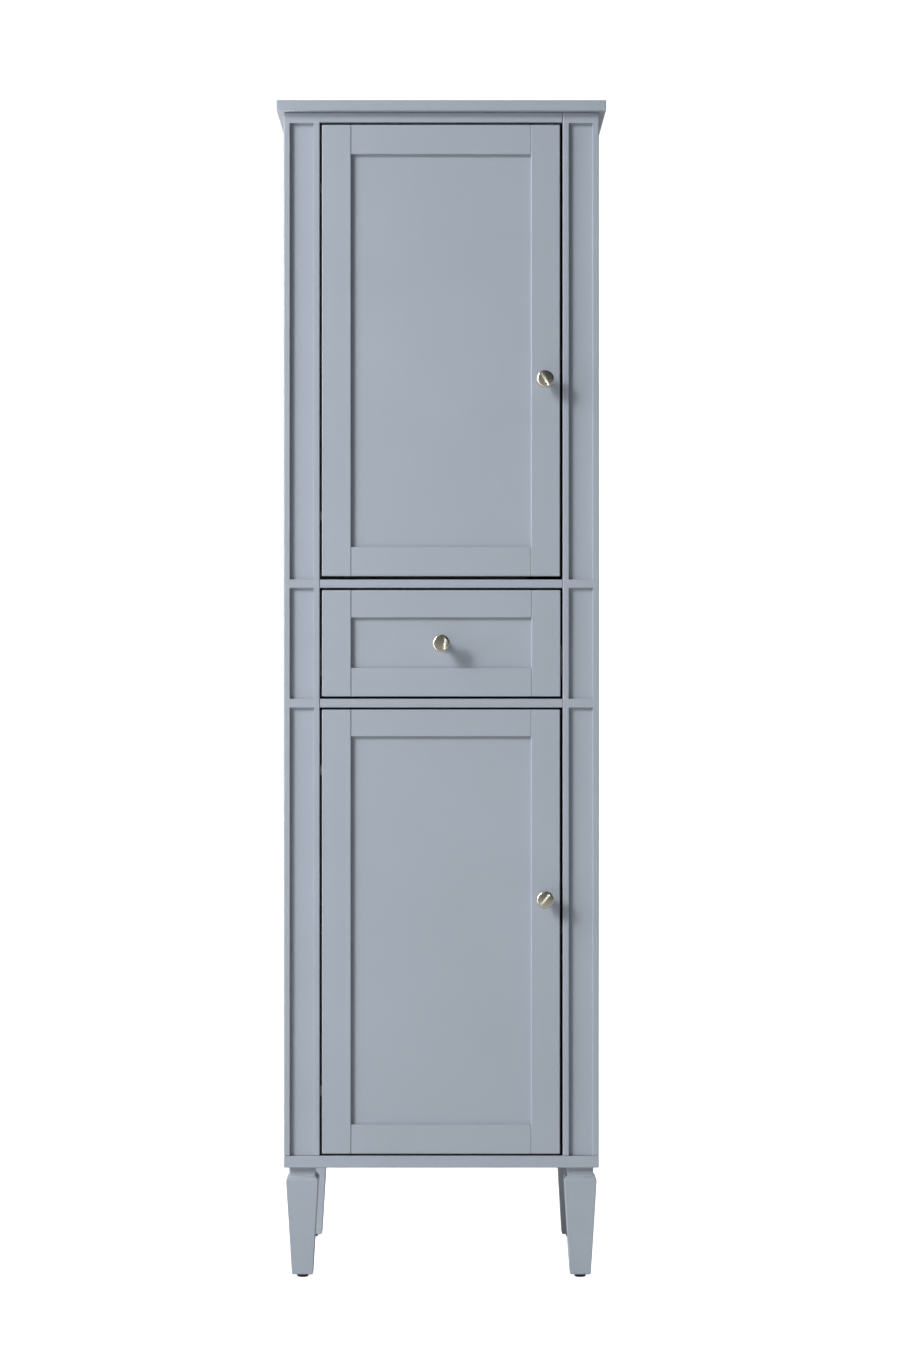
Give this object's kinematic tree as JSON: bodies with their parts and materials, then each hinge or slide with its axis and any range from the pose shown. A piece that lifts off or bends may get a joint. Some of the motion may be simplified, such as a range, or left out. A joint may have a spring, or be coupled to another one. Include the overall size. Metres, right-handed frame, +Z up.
{
  "type": "pantry cabinet",
  "caption": "Tall narrow storage cabinet with a hinged shaker door above and below one drawer, a face frame with sunk stile fields, tapered legs and round knobs.",
  "frame": {"origin": "on the floor, under the middle of the bounding box (knob fronts to back panel, and slab end to slab end)", "axes": "+Z up, along the height; +Y towards the back panel, so the doors face -Y; +X to the right as seen from the front"},
  "size_m": [0.483, 0.4004, 1.7314],
  "materials": {
    "paint": "satin blue-grey paint on board and solid wood",
    "light_wood": "clear satin varnish on light hardwood and plywood",
    "brushed_nickel": "brushed satin nickel, slightly warm",
    "zinc_steel": "bright zinc plating",
    "black_plastic": "matte moulded black"
  },
  "bodies": {
    "cabinet": {"back_panel": "paint", "bottom_panel": "paint", "bottom_rail": "paint", "front_left_glide": "black_plastic", "front_left_leg": "paint", "front_right_glide": "black_plastic", "front_right_leg": "paint", "left_side_panel": "paint", "left_stile": "paint", "lower_deck": "paint", "lower_door_lower_hinge_arm": "zinc_steel", "lower_door_upper_hinge_arm": "zinc_steel", "lower_shelf": "paint", "rear_left_glide": "black_plastic", "rear_left_leg": "paint", "rear_right_glide": "black_plastic", "rear_right_leg": "paint", "right_side_panel": "paint", "right_stile": "paint", "slide_cabinet_member_left": "zinc_steel", "slide_cabinet_member_right": "zinc_steel", "slide_spacer_left": "light_wood", "slide_spacer_right": "light_wood", "top_panel": "paint", "top_rail": "paint", "upper_deck": "paint", "upper_door_lower_hinge_arm": "zinc_steel", "upper_door_upper_hinge_arm": "zinc_steel", "upper_shelf": "paint"},
    "upper_door": {"upper_door_bottom_rail": "paint", "upper_door_hinge_stile": "paint", "upper_door_knob": "brushed_nickel", "upper_door_latch_stile": "paint", "upper_door_lower_hinge_cup": "zinc_steel", "upper_door_panel": "paint", "upper_door_top_rail": "paint", "upper_door_upper_hinge_cup": "zinc_steel"},
    "lower_door": {"lower_door_bottom_rail": "paint", "lower_door_hinge_stile": "paint", "lower_door_knob": "brushed_nickel", "lower_door_latch_stile": "paint", "lower_door_lower_hinge_cup": "zinc_steel", "lower_door_panel": "paint", "lower_door_top_rail": "paint", "lower_door_upper_hinge_cup": "zinc_steel"},
    "drawer": {"drawer_back": "light_wood", "drawer_bottom": "light_wood", "drawer_front_bottom_rail": "paint", "drawer_front_left_stile": "paint", "drawer_front_panel": "paint", "drawer_front_right_stile": "paint", "drawer_front_top_rail": "paint", "drawer_knob": "brushed_nickel", "drawer_left_side": "light_wood", "drawer_right_side": "light_wood", "drawer_sub_front": "light_wood", "slide_drawer_member_left": "zinc_steel", "slide_drawer_member_right": "zinc_steel"},
    "slide_middles": {"slide_middle_member_left": "zinc_steel", "slide_middle_member_right": "zinc_steel"}
  },
  "joints": [
    {"name": "upper_door_swing", "type": "hinge", "parent": "cabinet", "child": "upper_door", "pos_m": [-0.1653, -0.16575, 1.3658], "axis": [0, 0, -1], "range_deg": [0, 110]},
    {"name": "lower_door_swing", "type": "hinge", "parent": "cabinet", "child": "lower_door", "pos_m": [-0.1653, -0.16575, 0.51185], "axis": [0, 0, -1], "range_deg": [0, 110]},
    {"name": "drawer_slide", "type": "slide", "parent": "cabinet", "child": "drawer", "axis": [0, -1, 0], "range_m": [0, 0.27]},
    {"name": "slide_middles_slide", "type": "slide", "parent": "cabinet", "child": "slide_middles", "axis": [0, -1, 0], "range_m": [0, 0.135]}
  ],
  "couplings": [
    {"joint": "slide_middles_slide", "follows": "drawer_slide", "ratio": 0.5}
  ]
}
